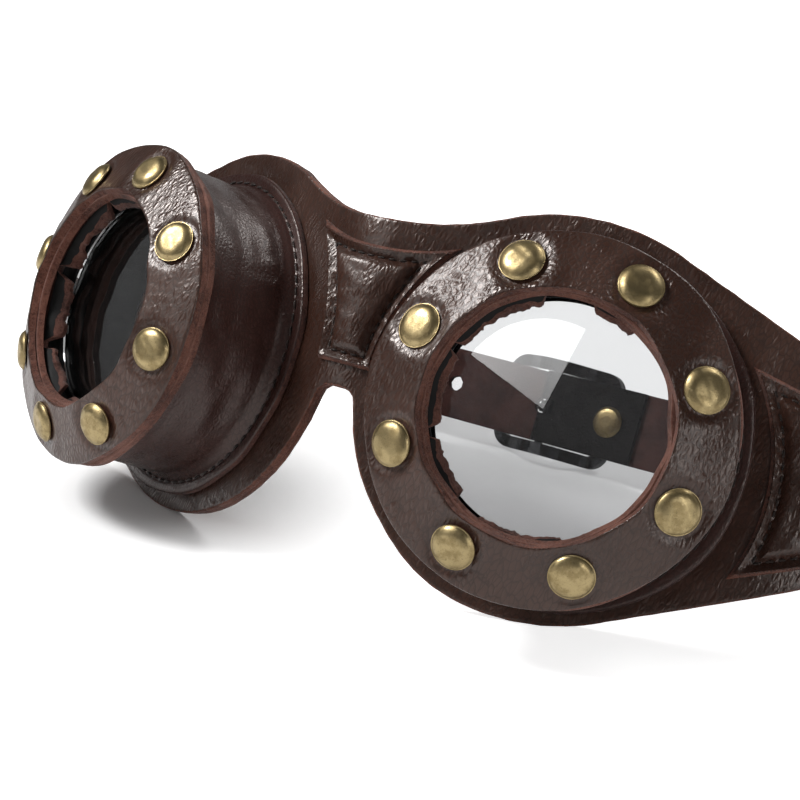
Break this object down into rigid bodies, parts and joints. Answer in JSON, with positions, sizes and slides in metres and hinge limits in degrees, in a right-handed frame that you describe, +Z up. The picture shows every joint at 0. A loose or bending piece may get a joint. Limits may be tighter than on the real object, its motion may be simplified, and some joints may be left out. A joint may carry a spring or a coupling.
{
  "type": "steampunk goggles",
  "caption": "Leather mask with two flared eye cups, riveted round bezels, smoked flat lenses, stitched patches and a buckled head strap.",
  "frame": {"origin": "middle of the bounding box at table height, under the goggles as they lie on both lobes and the buckle", "axes": "+X to the viewer's right along the line through both cup centres, -Y the way the lenses look, +Z up"},
  "size_m": [0.2286, 0.1259, 0.0839],
  "materials": {
    "brown_leather": "glossy creased dark brown",
    "raw_leather": "raw fuzzy reddish brown",
    "strap_leather": "satin reddish dark brown",
    "black_leather": "glossy black",
    "antique_brass": "antique, speckled",
    "black_plastic": "matte black",
    "gunmetal": "dark polished",
    "smoke_lens": "polished, smoke tint"
  },
  "bodies": {
    "goggles": {"mask_leather": "brown_leather", "mask_lining": "raw_leather", "bridge_patch": "brown_leather", "side_patch_right": "brown_leather", "side_patch_left": "brown_leather", "cup_wall_right": "brown_leather", "cup_wall_left": "brown_leather", "bezel_back_right": "raw_leather", "bezel_back_left": "raw_leather", "bezel_front_right": "brown_leather", "bezel_front_left": "brown_leather", "bezel_rivets_right": "antique_brass", "bezel_rivets_left": "antique_brass", "lens_holder_right": "black_plastic", "lens_holder_left": "black_plastic", "lens_right": "smoke_lens", "lens_left": "smoke_lens", "lens_ring_right": "black_plastic", "lens_ring_left": "black_plastic", "strap_buckle_side": "strap_leather", "strap_tongue_side": "strap_leather", "strap_rivets_right": "antique_brass", "strap_rivets_left": "antique_brass", "buckle_tab": "black_leather", "tab_rivet": "antique_brass"},
    "buckle": {"buckle_frame": "gunmetal"},
    "prong": {"buckle_prong": "gunmetal"},
    "keeper": {"keeper_loop": "black_leather"}
  },
  "joints": [
    {"name": "buckle_tilt", "type": "hinge", "parent": "goggles", "child": "buckle", "pos_m": [0.0032, 0.05147, 0.01417], "axis": [0, 0.4096, 0.9123], "range_deg": [0, 5]},
    {"name": "prong_lift", "type": "hinge", "parent": "buckle", "child": "prong", "pos_m": [0.0032, 0.05147, 0.01417], "axis": [0, -0.4096, -0.9123], "range_deg": [0, 4]},
    {"name": "keeper_slide", "type": "slide", "parent": "goggles", "child": "keeper", "axis": [1, 0, 0], "range_m": [-0.005, 0.01]}
  ]
}
